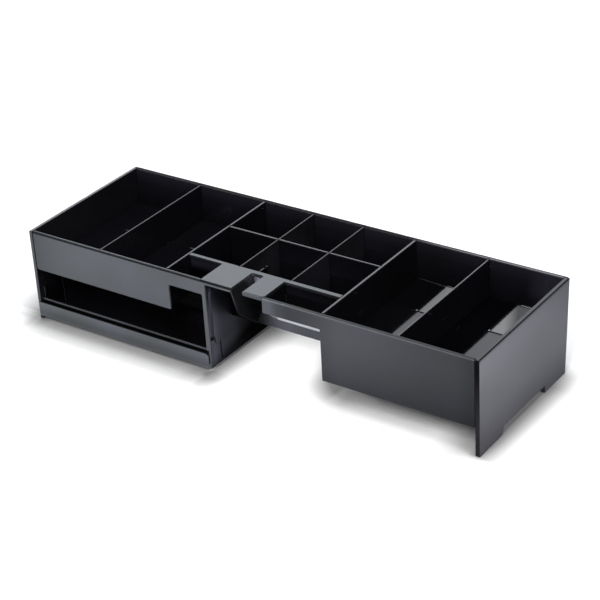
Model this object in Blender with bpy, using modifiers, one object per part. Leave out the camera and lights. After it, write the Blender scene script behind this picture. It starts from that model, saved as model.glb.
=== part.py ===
"""Cash drawer insert: four note compartments, six coin cells, two front coin cups,
a lock bridge and a low front bin, all in black moulded plastic.

Metres, +Z up. The insert is measured from its left end, its front face and the
surface that it stands on. The finished model is centred on that surface, with its
front towards -Y.
"""

import math

import bmesh
import bpy
from mathutils import Vector

# Fits between pieces
FIT = 0.0003
GROOVE_DEPTH = 0.0008
CUT_OVERRUN = 0.002

# Across the length, from the left end to the right end
LEFT_END_THICKNESS = 0.0033
NOTE_WIDTH_1 = 0.07435
NOTE_DIVIDER_THICKNESS = 0.0013
NOTE_WIDTH_2 = 0.07025
COIN_SIDE_THICKNESS = 0.002
COIN_CELL_WIDTH = 0.0504
COLUMN_DIVIDER_THICKNESS = 0.0013
BLOCK_SIDE_THICKNESS = 0.0024
NOTE_WIDTH_3 = 0.0686
RIGHT_DIVIDER_THICKNESS = 0.0016
NOTE_WIDTH_4 = 0.0684
RIGHT_END_THICKNESS = 0.004

# From the front face to the rear face, which leans inwards towards its foot
FACING_THICKNESS = 0.0015
INNER_FRONT_THICKNESS = 0.0016
RIGHT_FRONT_THICKNESS = 0.0032
CUP_DEPTH = 0.0305
COIN_FRONT_THICKNESS = 0.0024
MIDDLE_CELL_DEPTH = 0.0552
ROW_DIVIDER_THICKNESS = 0.002
REAR_CELL_DEPTH = 0.0525
REAR_THICKNESS = 0.003
REAR_LEAN = 0.0049
REAR_INNER_LEAN = 0.002

# Heights, most of them measured down from the rim
HEIGHT = 0.0875
NOTE_CELL_HEIGHT = 0.0348
NOTE_FLOOR_THICKNESS = 0.002
COIN_CELL_HEIGHT = 0.046
COIN_FLOOR_THICKNESS = 0.0025
BLOCK_CLEARANCE = 0.0262
BASE_CLEARANCE = 0.003
DIVIDER_DROP = 0.0003

# Feet of the end panels
FRONT_FOOT_LENGTH = 0.036
FOOT_SLANT = 0.004
REAR_FOOT_LENGTH = 0.041
FOOT_ARCH_HEIGHT = 0.0069
FOOT_TOE_RADIUS = 0.0012

# Facing of the left block
FACING_SEAM = 0.001
FACING_RIM_DROP = 0.0009
FACING_CORNER_RADIUS = 0.0025
FACING_STEP_DEPTH = 0.0132
FACING_STEP_INSET = 0.002
FACING_STEP_RADIUS = 0.0015
POST_WIDTH = 0.0035
STRIP_HEIGHT = 0.0023

# Side panel of the left block, which carries the lock bridge
SIDE_PANEL_THICKNESS = 0.0033
SLOT_FRONT_WALL = 0.0021
SLOT_WIDTH = 0.0034
SLOT_EYE_HEIGHT = 0.0312
SLOT_EYE_RADIUS = 0.0025
SLOT_EYE_OFFSET = 0.0006
SLIT_SETBACK = 0.0151
SLIT_WIDTH = 0.0006
SLIT_LOW = 0.007
SLIT_LENGTH = 0.017

# The lock pieces take these shares of the coin section's width
SIDE_PANEL_INSET_SHARE = 0.2393
BRIDGE_LEFT_ARM_SHARE = 0.2048
NOTCH_WIDTH_SHARE = 0.0761
BRIDGE_RIGHT_ARM_SHARE = 0.1339

# Lock bridge and its webs
BRIDGE_THICKNESS = 0.0027
BRIDGE_OVERHANG = 0.0019
NOTCH_REAR_BAND = 0.0046
NOTCH_CORNER_RADIUS = 0.0018
BRIDGE_TIP_RADIUS = 0.0013
LEFT_CUP_LEDGE = 0.0013
RIGHT_CUP_LEDGE = 0.0022
BRIDGE_GROOVE_WIDTH = 0.0008
BRIDGE_GROOVE_DEPTH = 0.0015
BRIDGE_GROOVE_SETBACK = 0.0012
GUSSET_THICKNESS = 0.0014
GUSSET_SETBACK = 0.0004
GUSSET_ELBOW_DEPTH = 0.0105
GUSSET_ELBOW_DROP = 0.0301
RIB_THICKNESS = 0.0012
RIB_NOTCH_SETBACK = 0.0042
RIB_LENGTH = 0.007
RIB_DIP_LENGTH = 0.003
RIB_DIP_DEPTH = 0.002
RIB_TIP_LENGTH = 0.0019
RIB_HEIGHT = 0.017
RIB_TIP_HEIGHT = 0.004

# Front coin cups
RIGHT_CUP_FRONT_HEIGHT = 0.0136
CUP_DROP = 0.0272
CUP_RAMP_DEPTH = 0.0138
CUP_FLOOR_THICKNESS = 0.002
CUP_WALL_THICKNESS = 0.0016
CUP_WALL_LEDGE = 0.0004
RIGHT_CUP_FRONT_INSET = 0.0008

# Front bin
SKIRT_THICKNESS = 0.0016
SKIRT_HEIGHT = 0.0142
SKIRT_SEAM = 0.0005
LIP_SETBACK = 0.003
LIP_THICKNESS = 0.0015
LIP_HEIGHT = 0.0165
BIN_FLOOR_THICKNESS = 0.0013
BIN_DEPTH = 0.0244
BIN_REAR_THICKNESS = 0.0015
BIN_REAR_GAP = 0.0034
BIN_SIDE_THICKNESS = 0.0015
BIN_SIDE_HEIGHT = 0.0265

# Small relief across the note floors
RIDGE_SETBACK = 0.0941
RIDGE_WIDTH = 0.0014
RIDGE_HEIGHT = 0.0005

# Edge rounding
EDGE_RADIUS = 0.0004
FINE_EDGE_RADIUS = 0.0003
EDGE_SEGMENTS = 2
ARC_STEPS = 5
FLAT_ANGLE = math.radians(1.0)
SHARP_ANGLE = math.radians(30.0)
WELD_DISTANCE = 0.00001

# Places across the length
NOTE_DIVIDER_LEFT_X = LEFT_END_THICKNESS + NOTE_WIDTH_1
NOTE_2_X = NOTE_DIVIDER_LEFT_X + NOTE_DIVIDER_THICKNESS
COIN_SIDE_X = NOTE_2_X + NOTE_WIDTH_2
COIN_X = COIN_SIDE_X + COIN_SIDE_THICKNESS
COLUMN_LEFT_X = COIN_X + COIN_CELL_WIDTH
COLUMN_RIGHT_X = COLUMN_LEFT_X + COLUMN_DIVIDER_THICKNESS + COIN_CELL_WIDTH
BLOCK_X = COLUMN_RIGHT_X + COLUMN_DIVIDER_THICKNESS + COIN_CELL_WIDTH
NOTE_3_X = BLOCK_X + BLOCK_SIDE_THICKNESS
NOTE_DIVIDER_RIGHT_X = NOTE_3_X + NOTE_WIDTH_3
NOTE_4_X = NOTE_DIVIDER_RIGHT_X + RIGHT_DIVIDER_THICKNESS
RIGHT_END_X = NOTE_4_X + NOTE_WIDTH_4
LENGTH = RIGHT_END_X + RIGHT_END_THICKNESS
COLUMN_PLACES = (("left", COLUMN_LEFT_X), ("right", COLUMN_RIGHT_X))

# Places from the front to the rear
INNER_FRONT_Y = FACING_THICKNESS + FIT
LEFT_CELL_Y = INNER_FRONT_Y + INNER_FRONT_THICKNESS
COIN_FRONT_Y = LEFT_CELL_Y + CUP_DEPTH
MIDDLE_CELL_Y = COIN_FRONT_Y + COIN_FRONT_THICKNESS
ROW_DIVIDER_Y = MIDDLE_CELL_Y + MIDDLE_CELL_DEPTH
REAR_CELL_Y = ROW_DIVIDER_Y + ROW_DIVIDER_THICKNESS
REAR_Y = REAR_CELL_Y + REAR_CELL_DEPTH
DEPTH = REAR_Y + REAR_THICKNESS

# Heights above the surface that the insert stands on
NOTE_FLOOR_TOP = HEIGHT - NOTE_CELL_HEIGHT
NOTE_FLOOR_BOTTOM = NOTE_FLOOR_TOP - NOTE_FLOOR_THICKNESS
COIN_FLOOR_TOP = HEIGHT - COIN_CELL_HEIGHT
COIN_FLOOR_BOTTOM = COIN_FLOOR_TOP - COIN_FLOOR_THICKNESS
DIVIDER_TOP = HEIGHT - DIVIDER_DROP
BRIDGE_BOTTOM = HEIGHT - BRIDGE_THICKNESS
UNDER_BRIDGE = BRIDGE_BOTTOM - FIT
FACING_TOP = HEIGHT - FACING_RIM_DROP
FACING_STEP_Z = HEIGHT - FACING_STEP_DEPTH
RIGHT_CUP_FRONT_Z = HEIGHT - RIGHT_CUP_FRONT_HEIGHT
CUP_FLOOR_Z = HEIGHT - CUP_DROP
SKIRT_TOP = BASE_CLEARANCE + SKIRT_HEIGHT
BIN_BASE = BASE_CLEARANCE + FIT
BIN_FLOOR_TOP = BIN_BASE + BIN_FLOOR_THICKNESS
ROW_LAP_Z = (COIN_FLOOR_TOP + DIVIDER_TOP) / 2

# Places that the lock pieces share
COIN_WIDTH = BLOCK_X - COIN_X
SIDE_PANEL_X = COIN_X + COIN_WIDTH * SIDE_PANEL_INSET_SHARE + FIT
SIDE_PANEL_END_X = SIDE_PANEL_X + SIDE_PANEL_THICKNESS
POST_X = SIDE_PANEL_END_X - POST_WIDTH
BRIDGE_X = SIDE_PANEL_X - BRIDGE_OVERHANG
NOTCH_X = BRIDGE_X + COIN_WIDTH * BRIDGE_LEFT_ARM_SHARE
NOTCH_END_X = NOTCH_X + COIN_WIDTH * NOTCH_WIDTH_SHARE
BRIDGE_END_X = NOTCH_END_X + COIN_WIDTH * BRIDGE_RIGHT_ARM_SHARE
CUP_WALL_END_X = BRIDGE_END_X - CUP_WALL_LEDGE
CUP_WALL_X = CUP_WALL_END_X - CUP_WALL_THICKNESS
CUP_FRONT_X = BRIDGE_END_X - RIGHT_CUP_FRONT_INSET
GUSSET_X = NOTCH_X - GUSSET_SETBACK - GUSSET_THICKNESS
RIB_X = NOTCH_X + RIB_NOTCH_SETBACK - RIB_THICKNESS
SLOT_FRONT_Y = INNER_FRONT_Y + SLOT_FRONT_WALL
SLOT_REAR_Y = SLOT_FRONT_Y + SLOT_WIDTH
CUP_REAR_Y = COIN_FRONT_Y - FIT
BIN_REAR_Y = LIP_SETBACK + LIP_THICKNESS + BIN_DEPTH

CENTRE = Vector((LENGTH / 2, DEPTH / 2, 0))

SHELL_COLOUR = (0.012, 0.012, 0.013, 1.0)
TRAY_COLOUR = (0.009, 0.009, 0.010, 1.0)
DIVIDER_COLOUR = (0.010, 0.010, 0.011, 1.0)
SHELL_ROUGHNESS = 0.22
TRAY_ROUGHNESS = 0.28
DIVIDER_ROUGHNESS = 0.25
PLASTIC_METALLIC = 0.0


def clear_scene():
    for item in list(bpy.data.objects):
        bpy.data.objects.remove(item, do_unlink=True)


def new_collection(name):
    collection = bpy.data.collections.new(name)
    bpy.context.scene.collection.children.link(collection)
    return collection


def plastic(name, colour, roughness):
    material = bpy.data.materials.new(name)
    material.use_nodes = True
    shader = material.node_tree.nodes["Principled BSDF"]
    shader.inputs["Base Color"].default_value = colour
    shader.inputs["Roughness"].default_value = roughness
    shader.inputs["Metallic"].default_value = PLASTIC_METALLIC
    return material


def move_to(item, collection):
    for old in list(item.users_collection):
        old.objects.unlink(item)
    collection.objects.link(item)


def rear_outer_y(z):
    """The leaning outer face of the rear, at one height."""
    return DEPTH - REAR_LEAN * (HEIGHT - z) / HEIGHT


def rear_inner_y(z):
    """The leaning inner face of the rear panel, at one height."""
    return REAR_Y - REAR_INNER_LEAN * (HEIGHT - z) / (HEIGHT - BLOCK_CLEARANCE)


def cell_rear_y(z):
    """Where the pieces that reach back to the rear panel end, at one height."""
    return rear_inner_y(z) - FIT


def raw_box(name, low, high, collection):
    """A box between two corners, both measured from the left, the front and the base."""
    low = Vector(low)
    high = Vector(high)
    bpy.ops.mesh.primitive_cube_add(size=1, location=(low + high) / 2 - CENTRE)
    item = bpy.context.active_object
    item.name = name
    item.data.name = name
    item.scale = high - low
    bpy.ops.object.transform_apply(location=False, rotation=False, scale=True)
    move_to(item, collection)
    return item


def round_edges(item, radius):
    bevel = item.modifiers.new("rounded edges", "BEVEL")
    bevel.width = radius
    bevel.segments = EDGE_SEGMENTS
    bevel.limit_method = "ANGLE"
    bevel.angle_limit = SHARP_ANGLE
    bevel.use_clamp_overlap = True


def box(name, low, high, material, radius=EDGE_RADIUS):
    item = raw_box(name, low, high, PARTS)
    item.data.materials.append(material)
    round_edges(item, radius)
    return item


def corner_arc(before, corner, after, radius):
    """Points of a round that replaces one corner of an outline."""
    corner = Vector(corner)
    inward = (Vector(before) - corner).normalized()
    outward = (Vector(after) - corner).normalized()
    half_angle = inward.angle(outward) / 2
    reach = radius / math.tan(half_angle)
    centre = corner + (inward + outward).normalized() * (radius / math.sin(half_angle))
    start = corner + inward * reach - centre
    end = corner + outward * reach - centre
    turn = math.atan2(start.x * end.y - start.y * end.x, start.dot(end))
    points = []
    for step in range(ARC_STEPS + 1):
        angle = turn * step / ARC_STEPS
        x = start.x * math.cos(angle) - start.y * math.sin(angle)
        y = start.x * math.sin(angle) + start.y * math.cos(angle)
        points.append((centre.x + x, centre.y + y))
    return points


def with_rounds(corners, rounds):
    """Replaces the corners whose index is in rounds by arcs of the given radius."""
    points = []
    for index, corner in enumerate(corners):
        if index in rounds:
            before = corners[index - 1]
            after = corners[(index + 1) % len(corners)]
            points.extend(corner_arc(before, corner, after, rounds[index]))
        else:
            points.append(corner)
    return points


def plate(name, facing, near, far, outline, material, radius=EDGE_RADIUS):
    """A flat plate. facing is the axis that it is square to, near and far its two faces.

    The outline is in X and Y for a plate facing Z, X and Z for one facing Y, and
    Y and Z for one facing X. The plate's origin is at the outline's first point.
    """
    first = Vector(outline[0])
    curve = bpy.data.curves.new(name, "CURVE")
    curve.dimensions = "2D"
    curve.fill_mode = "BOTH"
    curve.extrude = (far - near) / 2
    spline = curve.splines.new("POLY")
    spline.points.add(len(outline) - 1)
    for point, place in zip(spline.points, outline):
        point.co = (place[0] - first.x, place[1] - first.y, 0, 1)
    spline.use_cyclic_u = True
    drawn = bpy.data.objects.new(name + " outline", curve)
    middle = (near + far) / 2
    if facing == "X":
        drawn.rotation_euler = (math.radians(90), 0, math.radians(90))
        drawn.location = Vector((middle, first.x, first.y)) - CENTRE
    elif facing == "Y":
        drawn.rotation_euler = (math.radians(90), 0, 0)
        drawn.location = Vector((first.x, middle, first.y)) - CENTRE
    else:
        drawn.location = Vector((first.x, first.y, middle)) - CENTRE
    PARTS.objects.link(drawn)
    item = solid_from_curve(name, drawn)
    item.data.materials.clear()
    item.data.materials.append(material)
    round_edges(item, radius)
    return item


def solid_from_curve(name, drawn):
    """Turns a filled curve into one closed mesh with plain flat faces."""
    bpy.context.view_layer.update()
    evaluated = drawn.evaluated_get(bpy.context.evaluated_depsgraph_get())
    mesh = bpy.data.meshes.new_from_object(evaluated)
    mesh.name = name
    item = bpy.data.objects.new(name, mesh)
    item.matrix_world = drawn.matrix_world
    bpy.data.objects.remove(drawn, do_unlink=True)
    form = bmesh.new()
    form.from_mesh(mesh)
    bmesh.ops.remove_doubles(form, verts=form.verts[:], dist=WELD_DISTANCE)
    bmesh.ops.dissolve_limit(form, angle_limit=FLAT_ANGLE, verts=form.verts[:], edges=form.edges[:])
    bmesh.ops.recalc_face_normals(form, faces=form.faces[:])
    form.to_mesh(mesh)
    form.free()
    PARTS.objects.link(item)
    return item


def cut(item, name, low, high):
    """Cuts a box-shaped recess out of a piece."""
    cutter = raw_box(name, low, high, CUTTERS)
    cutter.hide_render = True
    cutter.display_type = "WIRE"
    boolean = item.modifiers.new(name, "BOOLEAN")
    boolean.operation = "DIFFERENCE"
    boolean.solver = "EXACT"
    boolean.object = cutter
    return cutter


def groove_across(item, name, x, thickness, near_y, far_y, floor_z):
    """A guide groove, open at the rim, for a divider that runs from front to rear."""
    cut(
        item,
        name,
        (x - FIT, near_y, floor_z),
        (x + thickness + FIT, far_y, HEIGHT + CUT_OVERRUN),
    )


def end_outline(front_corners, rounds):
    """Side view of an end panel. front_corners run up its front edge from the toe."""
    rear_foot_y = DEPTH - REAR_FOOT_LENGTH
    corners = [
        (FRONT_FOOT_LENGTH, 0),
        (FRONT_FOOT_LENGTH + FOOT_SLANT, FOOT_ARCH_HEIGHT),
        (rear_foot_y, FOOT_ARCH_HEIGHT),
        (rear_foot_y, 0),
        (rear_outer_y(0), 0),
        (DEPTH, HEIGHT),
        (0, HEIGHT),
    ]
    return with_rounds(corners + front_corners, rounds)


def make_end_panels():
    recess_y = SKIRT_THICKNESS + FIT
    recess_top = SKIRT_TOP + FIT
    recess_base = BASE_CLEARANCE - FIT
    skirt_recess = [
        (0, recess_top),
        (recess_y, recess_top),
        (recess_y, recess_base),
        (0, recess_base),
        (0, 0),
    ]
    plate("left_end_panel", "X", 0, LEFT_END_THICKNESS, end_outline(skirt_recess, {}), SHELL)
    toe_index = len(end_outline([], {}))
    outline = end_outline([(0, 0)], {toe_index: FOOT_TOE_RADIUS})
    plate("right_end_panel", "X", RIGHT_END_X, LENGTH, outline, SHELL)


def rear_groove(rear, name, x, thickness, floor_z):
    """A guide groove in the leaning face of the rear panel, open at the rim."""
    top_z = HEIGHT + CUT_OVERRUN
    face_y = rear_inner_y((floor_z + top_z) / 2)
    low = (x - FIT, face_y - CUT_OVERRUN, floor_z)
    high = (x + thickness + FIT, face_y + GROOVE_DEPTH, top_z)
    cutter = cut(rear, name, low, high)
    cutter.rotation_euler.x = -math.atan2(REAR_INNER_LEAN, HEIGHT - BLOCK_CLEARANCE)


def make_rear_panel():
    outline = [
        (rear_inner_y(BLOCK_CLEARANCE), BLOCK_CLEARANCE),
        (rear_outer_y(BLOCK_CLEARANCE), BLOCK_CLEARANCE),
        (DEPTH, HEIGHT),
        (REAR_Y, HEIGHT),
    ]
    rear = plate("rear_panel", "X", LEFT_END_THICKNESS + FIT, RIGHT_END_X - FIT, outline, SHELL)
    note_z = NOTE_FLOOR_TOP - CUT_OVERRUN
    coin_z = COIN_FLOOR_TOP - CUT_OVERRUN
    rear_groove(rear, "note left rear groove", NOTE_DIVIDER_LEFT_X, NOTE_DIVIDER_THICKNESS, note_z)
    rear_groove(rear, "note right rear groove", NOTE_DIVIDER_RIGHT_X, RIGHT_DIVIDER_THICKNESS, note_z)
    for side, x in COLUMN_PLACES:
        rear_groove(rear, f"column {side} rear groove", x, COLUMN_DIVIDER_THICKNESS, coin_z)


def make_left_front():
    left = LEFT_END_THICKNESS + FIT
    inner = [
        (left, NOTE_FLOOR_BOTTOM),
        (COIN_X, NOTE_FLOOR_BOTTOM),
        (COIN_X, FACING_STEP_Z),
        (SIDE_PANEL_X - FIT, FACING_STEP_Z),
        (SIDE_PANEL_X - FIT, UNDER_BRIDGE),
        (BRIDGE_X - FIT, UNDER_BRIDGE),
        (BRIDGE_X - FIT, HEIGHT),
        (left, HEIGHT),
    ]
    wall = plate("front_wall_left", "Y", INNER_FRONT_Y, LEFT_CELL_Y, inner, SHELL)
    groove_across(
        wall,
        "note left front groove",
        NOTE_DIVIDER_LEFT_X,
        NOTE_DIVIDER_THICKNESS,
        LEFT_CELL_Y - GROOVE_DEPTH,
        LEFT_CELL_Y + CUT_OVERRUN,
        NOTE_FLOOR_TOP - CUT_OVERRUN,
    )
    facing_left = LEFT_END_THICKNESS + FACING_SEAM
    step_x = COIN_X + FACING_STEP_INSET
    strip_z = FACING_TOP - STRIP_HEIGHT
    outer = [
        (facing_left, NOTE_FLOOR_BOTTOM),
        (step_x, NOTE_FLOOR_BOTTOM),
        (step_x, FACING_STEP_Z),
        (POST_X, FACING_STEP_Z),
        (POST_X, BASE_CLEARANCE),
        (SIDE_PANEL_END_X, BASE_CLEARANCE),
        (SIDE_PANEL_END_X, strip_z),
        (NOTCH_X, strip_z),
        (NOTCH_X, FACING_TOP),
        (facing_left, FACING_TOP),
    ]
    rounds = {0: FACING_CORNER_RADIUS, 2: FACING_STEP_RADIUS, 3: FACING_STEP_RADIUS}
    plate(
        "front_facing_left",
        "Y",
        0,
        FACING_THICKNESS,
        with_rounds(outer, rounds),
        SHELL,
        FINE_EDGE_RADIUS,
    )


def make_right_front():
    start_x = CUP_FRONT_X
    end_x = RIGHT_END_X - FIT
    outline = [
        (start_x, RIGHT_CUP_FRONT_Z),
        (BLOCK_X, RIGHT_CUP_FRONT_Z),
        (BLOCK_X, BLOCK_CLEARANCE),
        (end_x, BLOCK_CLEARANCE),
        (end_x, HEIGHT),
        (start_x, HEIGHT),
    ]
    panel = plate("front_panel_right", "Y", 0, RIGHT_FRONT_THICKNESS, outline, SHELL)
    groove_across(
        panel,
        "note right front groove",
        NOTE_DIVIDER_RIGHT_X,
        RIGHT_DIVIDER_THICKNESS,
        RIGHT_FRONT_THICKNESS - GROOVE_DEPTH,
        RIGHT_FRONT_THICKNESS + CUT_OVERRUN,
        NOTE_FLOOR_TOP - CUT_OVERRUN,
    )


def make_long_walls():
    front_y = LEFT_CELL_Y + FIT
    row_z = COIN_FLOOR_TOP - CUT_OVERRUN
    row_low_y = ROW_DIVIDER_Y - FIT
    row_high_y = REAR_CELL_Y + FIT
    over_z = HEIGHT + CUT_OVERRUN
    outline = [
        (front_y, NOTE_FLOOR_BOTTOM),
        (COIN_FRONT_Y, NOTE_FLOOR_BOTTOM),
        (COIN_FRONT_Y, COIN_FLOOR_BOTTOM),
        (cell_rear_y(COIN_FLOOR_BOTTOM), COIN_FLOOR_BOTTOM),
        (cell_rear_y(HEIGHT), HEIGHT),
        (front_y, HEIGHT),
    ]
    left = plate("coin_side_wall_left", "X", COIN_SIDE_X, COIN_X, outline, TRAY, FINE_EDGE_RADIUS)
    left_groove_x = COIN_X - GROOVE_DEPTH
    cut(
        left,
        "row left groove",
        (left_groove_x, row_low_y, row_z),
        (COIN_X + CUT_OVERRUN, row_high_y, over_z),
    )
    block_front_y = RIGHT_FRONT_THICKNESS + FIT
    block = [
        (block_front_y, BLOCK_CLEARANCE),
        (cell_rear_y(BLOCK_CLEARANCE), BLOCK_CLEARANCE),
        (cell_rear_y(HEIGHT), HEIGHT),
        (block_front_y, HEIGHT),
    ]
    right = plate("block_side_panel", "X", BLOCK_X, NOTE_3_X, block, TRAY, FINE_EDGE_RADIUS)
    right_groove_x = BLOCK_X + GROOVE_DEPTH
    cut(
        right,
        "row right groove",
        (BLOCK_X - CUT_OVERRUN, row_low_y, row_z),
        (right_groove_x, row_high_y, over_z),
    )


def note_floor(name, near_x, far_x, front_y):
    """A floor with one low rounded ridge across it."""
    ridge_shares = [(0.0, 0.0), (0.25, 0.8), (0.5, 1.0), (0.75, 0.8), (1.0, 0.0)]
    outline = [(front_y, NOTE_FLOOR_BOTTOM)]
    outline.append((cell_rear_y(NOTE_FLOOR_BOTTOM), NOTE_FLOOR_BOTTOM))
    outline.append((cell_rear_y(NOTE_FLOOR_TOP), NOTE_FLOOR_TOP))
    for along_share, up_share in reversed(ridge_shares):
        outline.append(
            (RIDGE_SETBACK + RIDGE_WIDTH * along_share, NOTE_FLOOR_TOP + RIDGE_HEIGHT * up_share),
        )
    outline.append((front_y, NOTE_FLOOR_TOP))
    plate(name, "X", near_x, far_x, outline, TRAY, FINE_EDGE_RADIUS)


def make_floors():
    note_floor("note_floor_left", LEFT_END_THICKNESS + FIT, COIN_SIDE_X - FIT, LEFT_CELL_Y + FIT)
    note_floor("note_floor_right", NOTE_3_X + FIT, RIGHT_END_X - FIT, RIGHT_FRONT_THICKNESS + FIT)
    coin_front_y = MIDDLE_CELL_Y + FIT
    coin = [
        (coin_front_y, COIN_FLOOR_BOTTOM),
        (cell_rear_y(COIN_FLOOR_BOTTOM), COIN_FLOOR_BOTTOM),
        (cell_rear_y(COIN_FLOOR_TOP), COIN_FLOOR_TOP),
        (coin_front_y, COIN_FLOOR_TOP),
    ]
    plate("coin_floor", "X", COIN_X + FIT, BLOCK_X - FIT, coin, TRAY, FINE_EDGE_RADIUS)


def make_coin_front_wall():
    low = (COIN_X + FIT, COIN_FRONT_Y, COIN_FLOOR_BOTTOM)
    wall = box(
        "coin_front_wall",
        low,
        (BLOCK_X - FIT, MIDDLE_CELL_Y, UNDER_BRIDGE),
        TRAY,
        FINE_EDGE_RADIUS,
    )
    near = MIDDLE_CELL_Y - GROOVE_DEPTH
    far = MIDDLE_CELL_Y + CUT_OVERRUN
    floor_z = COIN_FLOOR_TOP - CUT_OVERRUN
    for side, x in COLUMN_PLACES:
        groove_across(wall, f"column {side} front groove", x, COLUMN_DIVIDER_THICKNESS, near, far, floor_z)


def make_bridge():
    """The plate at rim level: a rail behind both cups and the notched lock bridge."""
    rail_left = COIN_X + FIT
    rail_right = BLOCK_X - FIT
    left_ledge_y = COIN_FRONT_Y - LEFT_CUP_LEDGE
    right_ledge_y = COIN_FRONT_Y - RIGHT_CUP_LEDGE
    notch_end_y = MIDDLE_CELL_Y - NOTCH_REAR_BAND
    wall_end_y = RIGHT_FRONT_THICKNESS + FIT
    corners = [
        (rail_left, left_ledge_y),
        (BRIDGE_X, left_ledge_y),
        (BRIDGE_X, INNER_FRONT_Y),
        (NOTCH_X, INNER_FRONT_Y),
        (NOTCH_X, notch_end_y),
        (NOTCH_END_X, notch_end_y),
        (NOTCH_END_X, 0),
        (CUP_FRONT_X - FIT, 0),
        (CUP_FRONT_X - FIT, wall_end_y),
        (BRIDGE_END_X, wall_end_y),
        (BRIDGE_END_X, right_ledge_y),
        (rail_right, right_ledge_y),
        (rail_right, MIDDLE_CELL_Y),
        (rail_left, MIDDLE_CELL_Y),
    ]
    rounds = {4: NOTCH_CORNER_RADIUS, 5: NOTCH_CORNER_RADIUS, 6: BRIDGE_TIP_RADIUS}
    bridge = plate(
        "lock_bridge",
        "Z",
        BRIDGE_BOTTOM,
        HEIGHT,
        with_rounds(corners, rounds),
        SHELL,
        FINE_EDGE_RADIUS,
    )
    groove_y = BRIDGE_GROOVE_SETBACK
    cut(
        bridge,
        "bridge front groove",
        (NOTCH_END_X + BRIDGE_TIP_RADIUS, groove_y, HEIGHT - BRIDGE_GROOVE_DEPTH),
        (CUP_FRONT_X + CUT_OVERRUN, groove_y + BRIDGE_GROOVE_WIDTH, HEIGHT + CUT_OVERRUN),
    )
    near = MIDDLE_CELL_Y - GROOVE_DEPTH
    far = MIDDLE_CELL_Y + CUT_OVERRUN
    floor_z = COIN_FLOOR_TOP
    for side, x in COLUMN_PLACES:
        groove_across(bridge, f"bridge {side} groove", x, COLUMN_DIVIDER_THICKNESS, near, far, floor_z)


def slot_eye():
    """The round eye at the foot of the side panel's slot, from its rear edge to its front edge.

    The eye's centre stands a little in front of the slot's middle.
    """
    half = SLOT_WIDTH / 2
    centre_y = SLOT_FRONT_Y + half - SLOT_EYE_OFFSET
    start = math.acos((half + SLOT_EYE_OFFSET) / SLOT_EYE_RADIUS)
    end = -math.pi - math.acos((half - SLOT_EYE_OFFSET) / SLOT_EYE_RADIUS)
    steps = 2 * ARC_STEPS
    points = []
    for step in range(steps + 1):
        angle = start + (end - start) * step / steps
        y = centre_y + SLOT_EYE_RADIUS * math.cos(angle)
        z = SLOT_EYE_HEIGHT + SLOT_EYE_RADIUS * math.sin(angle)
        points.append((y, z))
    return points


def make_side_panel():
    under_floor = COIN_FLOOR_BOTTOM - FIT
    outline = [
        (INNER_FRONT_Y, BASE_CLEARANCE),
        (cell_rear_y(BLOCK_CLEARANCE), BASE_CLEARANCE),
        (cell_rear_y(BLOCK_CLEARANCE), under_floor),
        (CUP_REAR_Y, under_floor),
        (CUP_REAR_Y, UNDER_BRIDGE),
        (SLOT_REAR_Y, UNDER_BRIDGE),
    ]
    outline.extend(slot_eye())
    outline.append((SLOT_FRONT_Y, UNDER_BRIDGE))
    outline.append((INNER_FRONT_Y, UNDER_BRIDGE))
    panel = plate(
        "lock_side_panel",
        "X",
        SIDE_PANEL_X,
        SIDE_PANEL_END_X,
        outline,
        SHELL,
        FINE_EDGE_RADIUS,
    )
    low = (SIDE_PANEL_X - CUT_OVERRUN, SLIT_SETBACK, SLIT_LOW)
    high = (SIDE_PANEL_END_X + CUT_OVERRUN, SLIT_SETBACK + SLIT_WIDTH, SLIT_LOW + SLIT_LENGTH)
    cut(panel, "thin slit", low, high)


def make_lock_webs():
    gusset = [
        (INNER_FRONT_Y, UNDER_BRIDGE),
        (GUSSET_ELBOW_DEPTH, HEIGHT - GUSSET_ELBOW_DROP),
        (CUP_REAR_Y, COIN_FLOOR_BOTTOM),
        (CUP_REAR_Y, UNDER_BRIDGE),
    ]
    plate("lock_gusset", "X", GUSSET_X, GUSSET_X + GUSSET_THICKNESS, gusset, TRAY, FINE_EDGE_RADIUS)
    rib_y = MIDDLE_CELL_Y + FIT
    dip_y = rib_y + RIB_LENGTH
    tip_y = dip_y + RIB_DIP_LENGTH
    rib_end = tip_y + RIB_TIP_LENGTH
    dip_z = DIVIDER_TOP - RIB_DIP_DEPTH
    rib = [
        (rib_y, DIVIDER_TOP - RIB_HEIGHT),
        (rib_end, DIVIDER_TOP - RIB_TIP_HEIGHT),
        (rib_end, DIVIDER_TOP),
        (tip_y, DIVIDER_TOP),
        (tip_y, dip_z),
        (dip_y, DIVIDER_TOP),
        (rib_y, DIVIDER_TOP),
    ]
    plate("lock_rib", "X", RIB_X, RIB_X + RIB_THICKNESS, rib, TRAY, FINE_EDGE_RADIUS)


def cup_profile(front_y, front_z):
    """The underside of a cup: a ramp down from its low front wall, then a level floor."""
    ramp_end_y = front_y + CUP_RAMP_DEPTH * (front_z - CUP_FLOOR_Z) / (FACING_STEP_Z - CUP_FLOOR_Z)
    return [(front_y, front_z), (ramp_end_y, CUP_FLOOR_Z), (CUP_REAR_Y, CUP_FLOOR_Z)]


def cup_floor(name, near_x, far_x, front_y, front_z):
    lower = cup_profile(front_y, front_z)
    slope = math.atan2(front_z - CUP_FLOOR_Z, lower[1][0] - front_y)
    rise = CUP_FLOOR_THICKNESS / math.cos(slope)
    setback = CUP_FLOOR_THICKNESS * math.tan(slope / 2)
    upper_z = CUP_FLOOR_Z + CUP_FLOOR_THICKNESS
    upper = [(CUP_REAR_Y, upper_z), (lower[1][0] + setback, upper_z), (front_y, front_z + rise)]
    plate(name, "X", near_x, far_x, lower + upper, TRAY, FINE_EDGE_RADIUS)


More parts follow.
